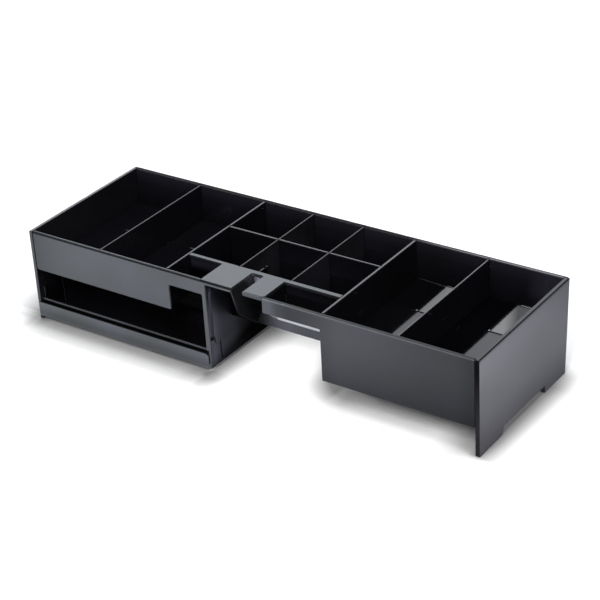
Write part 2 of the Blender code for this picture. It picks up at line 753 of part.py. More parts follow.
def make_cups():
    cup_floor("cup_floor_left", COIN_X + FIT, SIDE_PANEL_X - FIT, LEFT_CELL_Y + FIT, FACING_STEP_Z)
    front_y = RIGHT_FRONT_THICKNESS + FIT
    cup_floor("cup_floor_right", CUP_WALL_END_X + FIT, BLOCK_X - FIT, front_y, RIGHT_CUP_FRONT_Z)
    outline = cup_profile(front_y, RIGHT_CUP_FRONT_Z)
    outline.append((CUP_REAR_Y, UNDER_BRIDGE))
    outline.append((front_y, UNDER_BRIDGE))
    plate("cup_side_wall_right", "X", CUP_WALL_X, CUP_WALL_END_X, outline, TRAY, FINE_EDGE_RADIUS)


def make_bin():
    left = LEFT_END_THICKNESS + FIT
    right = SIDE_PANEL_X - FIT
    skirt_end = POST_X - SKIRT_SEAM
    box("bin_skirt", (0, 0, BASE_CLEARANCE), (skirt_end, SKIRT_THICKNESS, SKIRT_TOP), SHELL)
    lip_end = LIP_SETBACK + LIP_THICKNESS
    lip_top = BIN_BASE + LIP_HEIGHT
    box(
        "bin_front_lip",
        (left, LIP_SETBACK, BIN_BASE),
        (right, lip_end, lip_top),
        TRAY,
        FINE_EDGE_RADIUS,
    )
    floor_y = lip_end + FIT
    floor_end = BIN_REAR_Y - FIT
    box(
        "bin_floor",
        (left, floor_y, BIN_BASE),
        (right, floor_end, BIN_FLOOR_TOP),
        TRAY,
        FINE_EDGE_RADIUS,
    )
    rear_end = BIN_REAR_Y + BIN_REAR_THICKNESS
    rear_top = NOTE_FLOOR_BOTTOM - BIN_REAR_GAP
    box(
        "bin_rear_wall",
        (left, BIN_REAR_Y, BIN_BASE),
        (right, rear_end, rear_top),
        TRAY,
        FINE_EDGE_RADIUS,
    )
    side_low = (left, floor_y, BIN_FLOOR_TOP + FIT)
    side_high = (left + BIN_SIDE_THICKNESS, floor_end, BIN_FLOOR_TOP + FIT + BIN_SIDE_HEIGHT)
    box("bin_left_wall", side_low, side_high, TRAY, FINE_EDGE_RADIUS)


def note_divider(name, x, thickness, front_y):
    """A thin plate in the grooves of the front and rear walls, notched over the floor's ridge."""
    low_z = NOTE_FLOOR_TOP + FIT
    notch_z = low_z + RIDGE_HEIGHT
    near = front_y - GROOVE_DEPTH + FIT
    reach = GROOVE_DEPTH - FIT
    outline = [
        (near, low_z),
        (RIDGE_SETBACK - FIT, low_z),
        (RIDGE_SETBACK - FIT, notch_z),
        (RIDGE_SETBACK + RIDGE_WIDTH + FIT, notch_z),
        (RIDGE_SETBACK + RIDGE_WIDTH + FIT, low_z),
        (rear_inner_y(low_z) + reach, low_z),
        (rear_inner_y(DIVIDER_TOP) + reach, DIVIDER_TOP),
        (near, DIVIDER_TOP),
    ]
    plate(name, "X", x, x + thickness, outline, DIVIDER, FINE_EDGE_RADIUS)


def make_note_dividers():
    note_divider("note_divider_left", NOTE_DIVIDER_LEFT_X, NOTE_DIVIDER_THICKNESS, LEFT_CELL_Y)
    note_divider(
        "note_divider_right",
        NOTE_DIVIDER_RIGHT_X,
        RIGHT_DIVIDER_THICKNESS,
        RIGHT_FRONT_THICKNESS,
    )


def make_coin_dividers():
    """One row divider and two column dividers that lap over it at half height."""
    low_z = COIN_FLOOR_TOP + FIT
    near_x = COIN_X - GROOVE_DEPTH + FIT
    far_x = BLOCK_X + GROOVE_DEPTH - FIT
    outline = [(near_x, low_z), (far_x, low_z), (far_x, DIVIDER_TOP)]
    for side, column_x in reversed(COLUMN_PLACES):
        slot_end = column_x + COLUMN_DIVIDER_THICKNESS + FIT
        slot_start = column_x - FIT
        outline.append((slot_end, DIVIDER_TOP))
        outline.append((slot_end, ROW_LAP_Z))
        outline.append((slot_start, ROW_LAP_Z))
        outline.append((slot_start, DIVIDER_TOP))
    outline.append((near_x, DIVIDER_TOP))
    plate("coin_row_divider", "Y", ROW_DIVIDER_Y, REAR_CELL_Y, outline, DIVIDER, FINE_EDGE_RADIUS)
    near_y = MIDDLE_CELL_Y - GROOVE_DEPTH + FIT
    reach = GROOVE_DEPTH - FIT
    column = [
        (near_y, low_z),
        (ROW_DIVIDER_Y - FIT, low_z),
        (ROW_DIVIDER_Y - FIT, ROW_LAP_Z + FIT),
        (REAR_CELL_Y + FIT, ROW_LAP_Z + FIT),
        (REAR_CELL_Y + FIT, low_z),
        (rear_inner_y(low_z) + reach, low_z),
        (rear_inner_y(DIVIDER_TOP) + reach, DIVIDER_TOP),
        (near_y, DIVIDER_TOP),
    ]
    for side, x in COLUMN_PLACES:
        far_x = x + COLUMN_DIVIDER_THICKNESS
        plate(f"coin_column_divider_{side}", "X", x, far_x, column, DIVIDER, FINE_EDGE_RADIUS)


clear_scene()
PARTS = new_collection("cash drawer insert")
CUTTERS = new_collection("cutters")
SHELL = plastic("shell plastic", SHELL_COLOUR, SHELL_ROUGHNESS)
TRAY = plastic("tray plastic", TRAY_COLOUR, TRAY_ROUGHNESS)
DIVIDER = plastic("divider plastic", DIVIDER_COLOUR, DIVIDER_ROUGHNESS)

make_end_panels()
make_rear_panel()
make_left_front()
make_right_front()
make_long_walls()
make_floors()
make_coin_front_wall()
make_bridge()
make_side_panel()
make_lock_webs()
make_cups()
make_bin()
make_note_dividers()
make_coin_dividers()
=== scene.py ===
import math

import bmesh
import bpy
from mathutils import Matrix, Vector


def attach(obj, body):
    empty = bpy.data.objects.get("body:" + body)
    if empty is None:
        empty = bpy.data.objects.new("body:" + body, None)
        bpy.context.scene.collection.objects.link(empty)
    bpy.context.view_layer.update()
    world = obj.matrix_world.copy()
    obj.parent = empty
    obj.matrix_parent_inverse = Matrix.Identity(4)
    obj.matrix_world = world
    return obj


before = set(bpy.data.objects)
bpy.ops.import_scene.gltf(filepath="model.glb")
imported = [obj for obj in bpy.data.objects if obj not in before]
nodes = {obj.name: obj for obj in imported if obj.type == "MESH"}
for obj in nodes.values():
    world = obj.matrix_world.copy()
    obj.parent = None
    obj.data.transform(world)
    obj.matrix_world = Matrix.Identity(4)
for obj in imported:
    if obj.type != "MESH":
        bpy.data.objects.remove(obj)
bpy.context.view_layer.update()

# Places and lengths are in millimetres, counted from the tray's left front corner on the floor,
# unless a comment says metres. A tone of one leaves a surface as its material has it.
MM = 0.001
HALF_WIDTH = 225.0
HALF_DEPTH = 74.5

# The camera, as fitted to the photograph's frame. Its distance and target are in metres.
CAMERA_AZIMUTH = math.radians(35.808)
CAMERA_ELEVATION = math.radians(29.158)
CAMERA_ROLL = math.radians(-3.383)
CAMERA_DISTANCE = 1.575374
CAMERA_TARGET = Vector((0.005188, 0.005306, 0.041392))
CAMERA_LENS = 110.672
CAMERA_SENSOR = 36.0
CAMERA_NEAREST = 0.05


def at(x, y, z):
    """A place in metres from millimetres counted from the left front corner on the floor."""
    return Vector(((x - HALF_WIDTH) * MM, (y - HALF_DEPTH) * MM, z * MM))


class Shader:
    """Builds one node material step by step."""

    def __init__(self, name):
        self.material = bpy.data.materials.new(name)
        self.material.use_nodes = True
        self.tree = self.material.node_tree
        self.tree.nodes.clear()
        self.output = self.node("ShaderNodeOutputMaterial")

    def node(self, kind, **settings):
        made = self.tree.nodes.new(kind)
        for key, value in settings.items():
            setattr(made, key, value)
        return made

    def link(self, source, target):
        self.tree.links.new(source, target)

    def noise(self, place, scale, detail, roughness):
        made = self.node("ShaderNodeTexNoise")
        made.inputs["Scale"].default_value = scale
        made.inputs["Detail"].default_value = detail
        made.inputs["Roughness"].default_value = roughness
        self.link(place, made.inputs["Vector"])
        return made.outputs["Fac"]

    def stretched(self, place, scale):
        made = self.node("ShaderNodeMapping")
        made.inputs["Scale"].default_value = scale
        self.link(place, made.inputs["Vector"])
        return made.outputs["Vector"]

    def spread(self, value, low, high, to_low, to_high):
        """The value moved from one range to another, and held at the new range's ends."""
        made = self.node("ShaderNodeMapRange", clamp=True)
        ends = (("From Min", low), ("From Max", high), ("To Min", to_low), ("To Max", to_high))
        for key, number in ends:
            made.inputs[key].default_value = number
        self.link(value, made.inputs["Value"])
        return made.outputs["Result"]

    def math(self, operation, a, b=0.0):
        made = self.node("ShaderNodeMath", operation=operation)
        for index, value in enumerate((a, b)):
            if isinstance(value, (int, float)):
                made.inputs[index].default_value = value
            else:
                self.link(value, made.inputs[index])
        return made.outputs["Value"]

    def plus(self, a, b):
        return self.math("ADD", a, b)

    def minus(self, a, b):
        return self.math("SUBTRACT", a, b)

    def times(self, *values):
        product = values[0]
        for value in values[1:]:
            product = self.math("MULTIPLY", product, value)
        return product

    def above(self, value, limit):
        return self.math("GREATER_THAN", value, limit)

    def below(self, value, limit):
        return self.math("LESS_THAN", value, limit)

    def length(self, a, b):
        """The square root of the sum of both squares."""
        return self.math("SQRT", self.plus(self.times(a, a), self.times(b, b)))

    def graph(self, value, *stops):
        """A level read off straight lines through the stops, and held at their ends."""
        level = stops[0][1]
        for (x0, y0), (x1, y1) in zip(stops, stops[1:]):
            level = self.plus(level, self.spread(value, x0, x1, 0.0, y1 - y0))
        return level

    def pick(self, factor, otherwise, chosen):
        """One of two levels: chosen where the factor is one."""
        away = self.minus(1.0, factor)
        return self.plus(self.times(factor, chosen), self.times(away, otherwise))

    def scaled(self, colour, level):
        """A colour, fixed or linked, times a linked level."""
        made = self.node("ShaderNodeVectorMath", operation="SCALE")
        if isinstance(colour, tuple):
            made.inputs[0].default_value = colour
        else:
            self.link(colour, made.inputs[0])
        self.link(level, made.inputs["Scale"])
        return made.outputs["Vector"]

    def parts(self, vector):
        made = self.node("ShaderNodeSeparateXYZ")
        self.link(vector, made.inputs["Vector"])
        return [made.outputs[axis] for axis in "XYZ"]

    def spot(self):
        """The three parts of a place, in millimetres counted from the left front corner on the floor."""
        parts = self.parts(self.node("ShaderNodeTexCoord").outputs["Object"])
        return [self.plus(self.math("DIVIDE", part, MM), offset)
                for part, offset in zip(parts, (HALF_WIDTH, HALF_DEPTH, 0.0))]

    def faces(self):
        """The three parts of the unrounded normal: to the right, to the rear and up."""
        return self.parts(self.node("ShaderNodeNewGeometry").outputs["True Normal"])


WARM = (1.05, 1.03, 0.92)
COOL = (0.95, 0.97, 1.10)
NOISE_LOW = 0.3
NOISE_HIGH = 0.7
CLOUD_SCALE = 14.0
WAVE_SCALE = 16.0
FINE_SCALE = 420.0
FINE_SHARE = 0.3
SKIN_SCALE = 2600.0
SKIN_DEPTH = 0.1 * MM
WAVE_DEPTH = 1.0 * MM
PLASTIC_IOR = 1.6


def plastic(name, colour, roughness, wave=0.0, grain=0.01, spread=0.25, specular=0.5,
            streaks=(1.0, 1.0, 1.0), edge=0.9, tilt=None, shade=None, uneven=0.15, tint=(1.0, 1.0, 1.0)):
    """Moulded black ABS: uneven colour and gloss, a fine skin and the slow waves of a moulded face."""
    s = Shader(name)
    place = s.node("ShaderNodeTexCoord").outputs["Object"]
    shader = s.node("ShaderNodeBsdfPrincipled")
    s.link(shader.outputs["BSDF"], s.output.inputs["Surface"])

    cloud = s.noise(s.stretched(place, streaks), CLOUD_SCALE, 3.0, 0.55)
    fine = s.noise(place, FINE_SCALE, 2.0, 0.6)
    ramp = s.node("ShaderNodeMix", data_type="RGBA")
    s.link(s.spread(cloud, NOISE_LOW, NOISE_HIGH, 0.0, 1.0), ramp.inputs["Factor"])
    ramp.inputs["A"].default_value = (*[c * (1.0 - spread) * w for c, w in zip(colour, WARM)], 1.0)
    ramp.inputs["B"].default_value = (*[c * (1.0 + spread) * w for c, w in zip(colour, COOL)], 1.0)
    shader.inputs["Specular IOR Level"].default_value = specular
    # A shade function paints light and shade into the base colour and the gloss, by place on the part and
    # by which way each face points.
    if shade:
        level = shade(s)
        s.link(s.scaled(ramp.outputs["Result"], level), shader.inputs["Base Color"])
        s.link(s.math("MINIMUM", s.times(level, specular), 1.0), shader.inputs["Specular IOR Level"])
    else:
        s.link(ramp.outputs["Result"], shader.inputs["Base Color"])

    clouds = s.spread(cloud, NOISE_LOW, NOISE_HIGH, -uneven, uneven)
    specks = s.spread(fine, NOISE_LOW, NOISE_HIGH, -FINE_SHARE * uneven, FINE_SHARE * uneven)
    gloss = s.plus(s.plus(clouds, specks), 1.0)
    s.link(s.times(gloss, roughness), shader.inputs["Roughness"])
    shader.inputs["IOR"].default_value = PLASTIC_IOR
    shader.inputs["Specular Tint"].default_value = (*tint, 1.0)

    rounded = s.node("ShaderNodeBevel", samples=6)
    rounded.inputs["Radius"].default_value = edge * MM
    normal = rounded.outputs["Normal"]
    if tilt:
        normal = tilt(s, normal)
    skin = s.node("ShaderNodeBump")
    skin.inputs["Strength"].default_value = grain
    skin.inputs["Distance"].default_value = SKIN_DEPTH
    s.link(s.noise(place, SKIN_SCALE, 2.0, 0.6), skin.inputs["Height"])
    s.link(normal, skin.inputs["Normal"])
    normal = skin.outputs["Normal"]
    if wave > 0.0:
        slow = s.node("ShaderNodeBump")
        slow.inputs["Strength"].default_value = wave
        slow.inputs["Distance"].default_value = WAVE_DEPTH
        s.link(s.noise(s.stretched(place, streaks), WAVE_SCALE, 1.0, 0.4), slow.inputs["Height"])
        s.link(normal, slow.inputs["Normal"])
        normal = slow.outputs["Normal"]
    s.link(normal, shader.inputs["Normal"])
    return s.material


# The rear half of each note floor has a fine cross grain, which leans its gloss to the front and left.
GRAIN_FRONT = 95.5
GRAIN_LEAN = (-0.155, -0.472, 0.868)

# How much of a normal has to point one way: for a broken edge, a leaning face, and so on to a flat top.
BROKEN = 0.2
LEANING = 0.3
FACING = 0.5
UPWARD = 0.7
LEVEL = 0.9
FLAT = 0.98


def cross_grain(s, normal):
    _, y, _ = s.spot()
    _, _, up = s.parts(normal)
    lean = s.node("ShaderNodeMix", data_type="VECTOR")
    s.link(s.times(s.above(y, GRAIN_FRONT), s.above(up, LEVEL)), lean.inputs["Factor"])
    s.link(normal, lean.inputs["A"])
    lean.inputs["B"].default_value = GRAIN_LEAN
    return lean.outputs["Result"]


def shell_shade(s):
    """Painted shade: the left front is darker toward its outer end, and the facing's top is painted dark as
    the shade of the rim.
    """
    facing_depth = 1.7
    shaded_top = 0.12
    x, y, _ = s.spot()
    _, _, up = s.faces()
    top = s.times(s.above(up, LEANING), s.below(y, facing_depth))
    return s.pick(top, s.graph(x, (3.0, 0.62), (15.0, 0.74), (30.0, 0.88), (55.0, 0.97)), shaded_top)


def skirt_shade(s):
    """Painted light and shade: lighter toward its top and at its foot, dimmer at its right end, and painted
    nearly black on top.
    """
    painted_dark_top = 0.06
    x, _, z = s.spot()
    _, _, up = s.faces()
    height = s.graph(z, (3.6, 1.15), (5.0, 0.80), (8.0, 0.84), (14.0, 1.12))
    along = s.graph(x, (150.0, 1.0), (184.0, 0.86))
    return s.pick(s.above(up, LEANING), s.times(height, along), painted_dark_top)


def lip_shade(s):
    """Painted shade and highlight: the lip's front fades to black toward its foot, and its rim is painted
    light.
    """
    painted_rim_highlight = 2.2
    _, _, z = s.spot()
    _, _, up = s.faces()
    return s.pick(s.above(up, FACING), s.graph(z, (18.2, 0.04), (18.9, 0.8)), painted_rim_highlight)


def panel_shade(s):
    """Painted reflection, highlight and shade: soft bands along the right front, dimmer to its foot,
    lighter at its rim and broken edge, and a dimmer top.
    """
    painted_edge_highlight = 5.0
    painted_dim_top = 0.22
    x, _, z = s.spot()
    _, ahead, up = s.faces()
    along = s.graph(x, (256.0, 1.25), (264.0, 0.76), (275.0, 0.56), (290.0, 0.70), (305.0, 0.88),
                    (322.0, 1.11), (345.0, 1.14), (370.0, 1.09), (400.0, 0.95), (430.0, 0.86),
                    (443.0, 0.66))
    height = s.graph(z, (28.0, 0.74), (40.0, 0.88), (55.0, 0.95), (70.0, 1.0))
    # A painted highlight toward the top of the face.
    rim = s.graph(z, (86.2, 1.0), (86.8, 3.2))
    broken = s.times(s.above(up, BROKEN), s.below(ahead, -BROKEN))
    level = s.pick(broken, s.times(along, height, rim), painted_edge_highlight)
    return s.pick(s.above(up, FLAT), level, painted_dim_top)


def end_shade(s):
    """Painted light and shade: the outer face is lighter or darker by height and dark along its top edge,
    its rim is dimmer, its front edge nearly black and its inside dim.
    """
    painted_dim_rim = 0.48
    painted_dim_inside = 0.25
    _, _, z = s.spot()
    out, ahead, up = s.faces()
    outer = s.graph(z, (30.0, 0.97), (45.0, 0.86), (62.0, 0.90), (74.0, 1.05), (84.6, 1.05), (86.4, 0.35))
    level = s.pick(s.above(up, UPWARD), outer, painted_dim_rim)
    level = s.pick(s.below(ahead, -FACING), level, s.graph(z, (30.0, 0.40), (75.0, 0.07)))
    return s.pick(s.below(out, -FACING), level, painted_dim_inside)


def side_shade(s):
    """Painted reflection and shade: the side of the keyhole bay is painted light near its front, fading to
    the rear and to the floor.
    """
    slope_start = 9.0
    slope = 0.3
    _, y, z = s.spot()
    along = s.graph(y, (8.0, 3.3), (12.0, 2.4), (16.0, 1.8), (20.0, 1.5), (35.0, 1.25), (45.0, 0.6),
                    (60.0, 0.25))
    fall = s.minus(z, s.times(s.minus(y, slope_start), slope))
    height = s.graph(z, (6.0, 0.9), (14.0, 0.55), (24.0, 0.36), (40.0, 0.50))
    return s.times(along, s.graph(fall, (2.0, 0.15), (14.0, 1.0)), height)


def rear_shade(s):
    """Painted light and shade: the rear wall is lighter toward its rim and beside the right end; its rim is
    painted dark at the left, light toward the right end, and dark along its outer edge.
    """
    x, y, z = s.spot()
    _, _, up = s.faces()
    height = s.graph(z, (50.0, 0.8), (64.0, 1.3), (76.0, 1.9), (87.0, 3.8))
    # A painted light patch on the wall beside the right end.
    corner = s.times(s.graph(x, (412.0, 0.0), (432.0, 5.0)),
                     s.graph(z, (58.0, 0.3), (68.0, 1.0), (84.0, 0.4)))
    rim = s.times(s.graph(x, (300.0, 0.15), (410.0, 6.0)), s.graph(y, (146.4, 1.0), (147.4, 0.15)))
    return s.pick(s.above(up, FACING), s.plus(height, corner), rim)


def coin_front_shade(s):
    """Painted light where it shows in the keyhole bay, in the lock's notch and below the right cup, and
    painted shade at its foot and left of the bay.
    """
    cup_floor_height = 62.0
    foot_height = 40.6
    x, _, z = s.spot()
    notch = s.times(s.graph(z, (74.0, 0.0), (80.0, 1.0)), s.graph(x, (217.0, 4.0), (222.0, 46.0)),
                    s.graph(x, (232.0, 1.0), (236.0, 0.0)))
    foot = s.pick(s.below(z, foot_height), 1.0, s.graph(x, (210.0, 0.1), (224.0, 1.0)))
    below_cup = s.graph(x, (223.0, 0.15), (228.0, 0.45), (240.0, 1.6), (250.0, 2.0), (262.0, 1.55))
    lower = s.times(below_cup, foot)
    upper = s.graph(x, (188.0, 0.35), (190.0, 1.0))
    return s.plus(s.pick(s.below(z, cup_floor_height), upper, lower), notch)


def gusset_shade(s):
    """Painted shade: its front edge fades darker downward, and its lower edge is painted dark."""
    _, _, z = s.spot()
    _, ahead, _ = s.faces()
    return s.pick(s.below(ahead, -BROKEN), 1.0, s.graph(z, (57.0, 0.02), (62.0, 0.1), (80.0, 0.9)))


def bin_rear_shade(s):
    """Painted shade: the bin's rear wall is painted black above its foot, where light falls in."""
    _, _, z = s.spot()
    return s.graph(z, (30.0, 1.0), (37.0, 0.03))


def floor_shade(s):
    """Painted reflection and shade: the right floors are darker, each with a lighter strip of painted
    reflection; the last one dims past a slanting edge.
    """
    left_floors = 0.9
    right_start = 300.0
    third_front = 0.66
    last_start = 377.0
    last_left = 0.30
    last_strip_start = 404.0
    last_strip_front = 0.64
    slant_ratio = 2.0
    x, y, _ = s.spot()
    behind = s.above(y, GRAIN_FRONT)
    slant = s.plus(s.times(x, slant_ratio), y)
    patch = s.plus(s.graph(slant, (932.0, 1.10), (956.0, 0.33)), s.graph(x, (416.0, 0.0), (425.0, 0.2)))
    strip = s.pick(behind, last_strip_front, patch)
    last = s.pick(s.above(x, last_strip_start), last_left, strip)
    third = s.pick(behind, third_front, s.graph(x, (334.0, 0.55), (345.0, 0.85)))
    right = s.pick(s.above(x, last_start), third, last)
    return s.pick(s.above(x, right_start), left_floors, right)


# All of these are the one black ABS: their base colours differ by part as painted light and shade, lighter
# on the front faces, the right end and the lock's bridge, and darkest inside.
BLACK = (0.0027, 0.0026, 0.0035)
UPRIGHT = (1.0, 1.0, 0.4)

SHELL = plastic("shell_abs", (0.030, 0.033, 0.037), 0.31, wave=0.05, grain=0.004, shade=shell_shade,
                uneven=0.08)
SKIRT = plastic("skirt_abs", (0.046, 0.050, 0.056), 0.31, wave=0.05, grain=0.004, shade=skirt_shade,
                uneven=0.08)
LIP = plastic("lip_abs", (0.030, 0.032, 0.036), 0.22, shade=lip_shade, edge=0.3)
PANEL = plastic("panel_abs", (0.008, 0.0084, 0.0098), 0.16, wave=0.05, edge=0.5, shade=panel_shade,
                tint=(0.985, 1.0, 1.03))
END = plastic("end_abs", (0.0175, 0.0158, 0.0203), 0.20, wave=0.16, streaks=UPRIGHT, edge=0.6,
              shade=end_shade)
LEFT_END = plastic("left_end_abs", (0.0045, 0.0045, 0.0055), 0.18, wave=0.10, streaks=UPRIGHT)
SIDE = plastic("side_abs", (0.0036, 0.0038, 0.0062), 0.42, wave=0.10, specular=0.2, streaks=UPRIGHT,
               shade=side_shade, tint=(0.97, 0.95, 1.18))
BRIDGE = plastic("bridge_abs", (0.010, 0.0108, 0.0120), 0.20, wave=0.04, edge=0.4, tint=(0.98, 1.015, 1.03))
FLOOR = plastic("floor_abs", BLACK, 0.06, wave=0.05, specular=0.36, edge=0.2, tilt=cross_grain,
                shade=floor_shade)
REAR = plastic("rear_abs", BLACK, 0.12, wave=0.05, shade=rear_shade)
DIVIDER = plastic("divider_abs", BLACK, 0.12, wave=0.04)
COLUMN = plastic("column_abs", (0.0075, 0.0073, 0.0085), 0.14, wave=0.06, spread=0.6)
COIN_FRONT = plastic("coin_front_abs", BLACK, 0.12, wave=0.05, shade=coin_front_shade,
                     tint=(0.97, 1.0, 1.05))
BIN_REAR = plastic("bin_rear_abs", BLACK, 0.12, wave=0.05, shade=bin_rear_shade)
TRAY = plastic("tray_abs", BLACK, 0.12, wave=0.05)
GUSSET = plastic("gusset_abs", BLACK, 0.12, wave=0.05, edge=0.15, shade=gusset_shade)
FAINT = plastic("faint_line_abs", (0.0070, 0.0070, 0.0080), 0.40, specular=0.12, edge=0.1)
# Painted glints: a lighter grey for light lines along edges and in corners, and for small pips.
PAINTED_GLINT = plastic("painted_glint_abs", (0.016, 0.016, 0.019), 0.36, specular=0.25, edge=0.1)
# Painted highlights: a pale tone for a light line and pips on the note floors.
PAINTED_HIGHLIGHT = plastic("painted_highlight_abs", (0.160, 0.162, 0.170), 0.22, edge=0.1)
DARK = plastic("groove_abs", (0.0012, 0.0012, 0.0016), 0.40, specular=0.03, edge=0.1)


def dress(material, *names):
    for name in names:
        mesh = nodes[name].data
        mesh.materials.clear()
        mesh.materials.append(material)


dress(SHELL, "front_wall_left", "front_facing_left")
dress(SKIRT, "bin_skirt")
dress(LIP, "bin_front_lip")
dress(PANEL, "front_panel_right")
dress(END, "right_end_panel")
dress(LEFT_END, "left_end_panel")
dress(SIDE, "lock_side_panel")
dress(BRIDGE, "lock_bridge")
dress(FLOOR, "note_floor_left", "note_floor_right")
dress(REAR, "rear_panel")
dress(DIVIDER, "note_divider_left", "note_divider_right", "coin_row_divider")
dress(COLUMN, "coin_column_divider_left", "coin_column_divider_right")
dress(COIN_FRONT, "coin_front_wall")
dress(BIN_REAR, "bin_rear_wall")
dress(GUSSET, "lock_gusset")
dress(TRAY, "coin_floor", "coin_side_wall_left", "block_side_panel", "cup_floor_left", "cup_floor_right",
      "cup_side_wall_right", "lock_rib", "bin_floor", "bin_left_wall")


ROD_SIDES = 8
ROD_TURN = math.radians(22.5)
ROD_POINT_REACH = 0.35
ROD_POINT_SHARE = 0.55
PRISM_BEVEL = 0.15
BEVEL_SEGMENTS = 2
BEVEL_PROFILE = 0.7
NEARLY_UPRIGHT = 0.1


def piece(name, mesh, material):
    """A new piece on the tray from a finished mesh."""
    data = bpy.data.meshes.new(name)
    mesh.to_mesh(data)
    mesh.free()
    made = bpy.data.objects.new(name, data)
    bpy.context.scene.collection.objects.link(made)
    data.materials.append(material)
    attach(made, "tray")
    return made


def break_edges(mesh, width):
    bmesh.ops.bevel(mesh, geom=list(mesh.edges), offset=width * MM, segments=BEVEL_SEGMENTS,
                    profile=BEVEL_PROFILE, affect="EDGES")


def join_rings(mesh, rings):
    """Faces from each ring of corners to the next, and a face on each end."""
    for near, far in zip(rings, rings[1:]):
        for index in range(len(near)):
            following = (index + 1) % len(near)
            mesh.faces.new((near[index], near[following], far[following], far[index]))
    mesh.faces.new(list(reversed(rings[0])))
    mesh.faces.new(rings[-1])
    bmesh.ops.recalc_face_normals(mesh, faces=mesh.faces)


def rod(name, points, across, material):
    """A thin line that follows the points, eight sided, with pointed-off ends."""
    mesh = bmesh.new()
    rings = []
    count = len(points)
    for index, point in enumerate(points):
        before = Vector(points[max(index - 1, 0)])
        after = Vector(points[min(index + 1, count - 1)])
        way = (after - before).normalized()
        side = way.cross(Vector((0.0, 0.0, 1.0)))
        if side.length < NEARLY_UPRIGHT:
            side = Vector((1.0, 0.0, 0.0))
        side.normalize()
        top = side.cross(way).normalized()
        ends = [(0.0, 1.0)]
        if index == 0:
            ends = [(-ROD_POINT_REACH, ROD_POINT_SHARE), (0.0, 1.0)]
        if index == count - 1:
            ends = [(0.0, 1.0), (ROD_POINT_REACH, ROD_POINT_SHARE)]
        for ahead, share in ends:
            ring = []
            for turn in range(ROD_SIDES):
                angle = ROD_TURN + turn * 2.0 * math.pi / ROD_SIDES
                out = side * math.cos(angle) + top * math.sin(angle)
                spot = Vector(point) + way * ahead * across + out * across * 0.5 * share
                ring.append(mesh.verts.new(at(*spot)))
            rings.append(ring)
    join_rings(mesh, rings)
    return piece(name, mesh, material)


def plate(name, low, high, bevel, material):
    """A flat moulded plate between two corners, with its edges broken."""
    mesh = bmesh.new()
    bmesh.ops.create_cube(mesh, size=1.0)
    a, b = at(*low), at(*high)
    for vert in mesh.verts:
        vert.co = Vector([(a[i] + b[i]) * 0.5 + vert.co[i] * (b[i] - a[i]) for i in range(3)])
    break_edges(mesh, bevel)
    return piece(name, mesh, material)


def prism(name, outline, start, end, material):
    """A small moulded edge: an outline in depth and height, drawn along the width, its edges broken."""
    mesh = bmesh.new()
    join_rings(mesh, [[mesh.verts.new(at(x, y, z)) for y, z in outline] for x in (start, end)])
    break_edges(mesh, PRISM_BEVEL)
    return piece(name, mesh, material)


def stud(name, place, size, material):
    """A small round moulded pip."""
    mesh = bmesh.new()
    bmesh.ops.create_uvsphere(mesh, u_segments=16, v_segments=10, radius=size * 0.5 * MM)
    bmesh.ops.translate(mesh, verts=mesh.verts, vec=at(*place))
    for face in mesh.faces:
        face.smooth = True
    return piece(name, mesh, material)


# A black plate that closes the bin's window, a dark sheet standing in for the shade behind it.
plate("bin_window_shade_plate", (147.8, 28.9, 47.2), (188.1, 30.4, 60.4), 0.2, BIN_REAR)
prism("cup_floor_right_drip", [(15.9, 61.4), (18.5, 58.7), (21.0, 60.4)], 251.0, 304.5, TRAY)
plate("skirt_end_tab", (187.3, -0.1, 3.2), (190.0, 0.5, 16.2), 0.1, SKIRT)
plate("post_foot_gap", (187.7, -0.1, 15.6), (190.6, 0.4, 20.8), 0.1, DARK)
rod("skirt_end_gap", [(190.4, 0.0, 8.6), (190.3, 0.0, 13.0), (190.2, 0.0, 17.6)], 1.3, DARK)
rod("side_slit", [(191.6, 15.3, 22.4), (191.6, 15.4, 16.0), (191.6, 15.7, 10.0), (191.6, 16.6, 6.2)],
    1.1, DARK)
rod("side_crack", [(191.6, 7.6, 31.0), (191.6, 8.4, 28.6), (191.6, 7.9, 26.8), (191.6, 9.4, 24.4)],
    0.9, DARK)
# A light line along the rear rim's outer edge, a painted highlight.
rod("rear_rim_edge", [(1.5, 149.0, 87.3), (225.0, 149.0, 87.3), (448.0, 149.0, 87.3)], 1.0, PAINTED_GLINT)
rod("end_rim_groove", [(449.3, 1.5, 87.35), (449.3, 75.0, 87.35), (449.3, 148.4, 87.35)], 0.9, DARK)
# Light lines in the bin's and the right cup's corners, painted highlights.
rod("bin_corner_line", [(5.2, 28.7, 31.0), (5.2, 28.7, 21.5), (5.5, 28.6, 19.5), (5.6, 28.6, 4.9)],
    0.6, PAINTED_GLINT)
rod("cup_corner_line", [(249.9, 33.0, 68.8), (249.9, 33.0, 74.6)], 0.7, PAINTED_GLINT)
rod("mark_first", [(77.0, 60.0, 52.8), (77.0, 70.0, 52.8)], 0.4, FAINT)
rod("mark_second", [(83.4, 93.0, 52.7), (83.4, 104.0, 52.7)], 0.4, FAINT)
rod("mark_third", [(307.4, 52.6, 61.8), (307.4, 61.4, 62.7)], 0.4, FAINT)
rod("mark_fourth", [(377.6, 69.4, 68.1), (377.6, 76.4, 68.6)], 0.4, FAINT)
rod("mark_fifth", [(382.4, 83.0, 52.7), (380.8, 89.8, 52.7)], 0.4, FAINT)
# A pale line at the far end of the last note floor and two pale pips on the note floors, painted
# highlights.
rod("fourth_far_line", [(409.0, 143.9, 53.0), (425.0, 143.9, 53.0)], 0.8, PAINTED_HIGHLIGHT)
stud("pip_third", (337.4, 95.4, 52.9), 1.8, PAINTED_HIGHLIGHT)
stud("pip_fourth", (405.4, 95.6, 52.9), 1.8, PAINTED_HIGHLIGHT)
